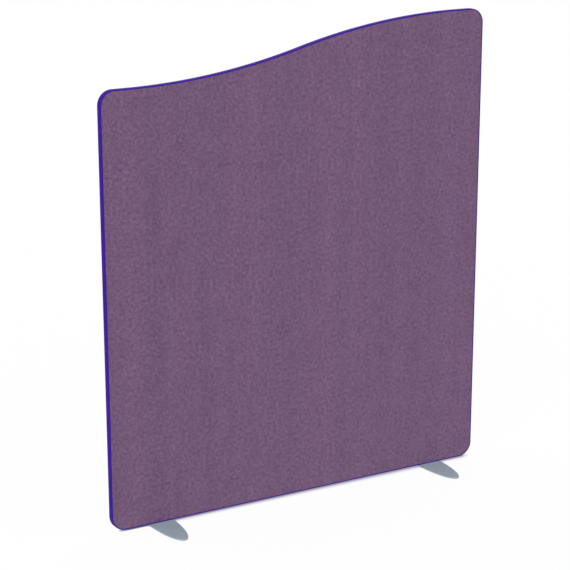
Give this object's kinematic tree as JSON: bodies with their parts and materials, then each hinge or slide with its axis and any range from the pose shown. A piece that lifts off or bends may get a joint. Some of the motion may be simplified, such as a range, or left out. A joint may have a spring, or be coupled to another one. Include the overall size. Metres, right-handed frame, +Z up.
{
  "type": "freestanding screen",
  "caption": "Freestanding fabric-covered screen with a wave-shaped top edge, edged with a plastic trim and standing on flat oval steel feet.",
  "frame": {"origin": "on the floor, at the middle of the screen's width and thickness", "axes": "+Z up, +X along the screen towards the high side of its wave, -Y out of its front face"},
  "size_m": [1.6, 0.4, 1.8],
  "materials": {
    "screen_fabric": "plum melange wool mix, flat weave, matt",
    "trim_plastic": "blue violet extruded plastic, satin",
    "foot_steel": "light grey powder coat, fine texture",
    "screw_steel": "bright zinc plated",
    "insert_brass": "as turned",
    "frame_wood": "planed pine",
    "dowel_wood": "turned beech",
    "infill_board": "soft wood fibre board, raw",
    "hardboard": "pressed wood fibre, smooth face outwards",
    "interliner_felt": "thin needled felt, off-white"
  },
  "bodies": {
    "root": {"front_fabric": "screen_fabric", "back_fabric": "screen_fabric", "edge_trim": "trim_plastic", "left_foot": "foot_steel", "right_foot": "foot_steel", "left_foot_screws": "screw_steel", "right_foot_screws": "screw_steel", "left_foot_inserts": "insert_brass", "right_foot_inserts": "insert_brass", "front_interliner": "interliner_felt", "back_interliner": "interliner_felt", "front_skin": "hardboard", "back_skin": "hardboard", "bottom_rail": "frame_wood", "top_rail": "frame_wood", "left_stile": "frame_wood", "right_stile": "frame_wood", "centre_stile": "frame_wood", "left_cross_rail": "frame_wood", "right_cross_rail": "frame_wood", "bottom_dowels": "dowel_wood", "top_dowels": "dowel_wood", "cross_rail_dowels": "dowel_wood", "lower_left_infill": "infill_board", "lower_right_infill": "infill_board", "upper_left_infill": "infill_board", "upper_right_infill": "infill_board"}
  },
  "joints": []
}
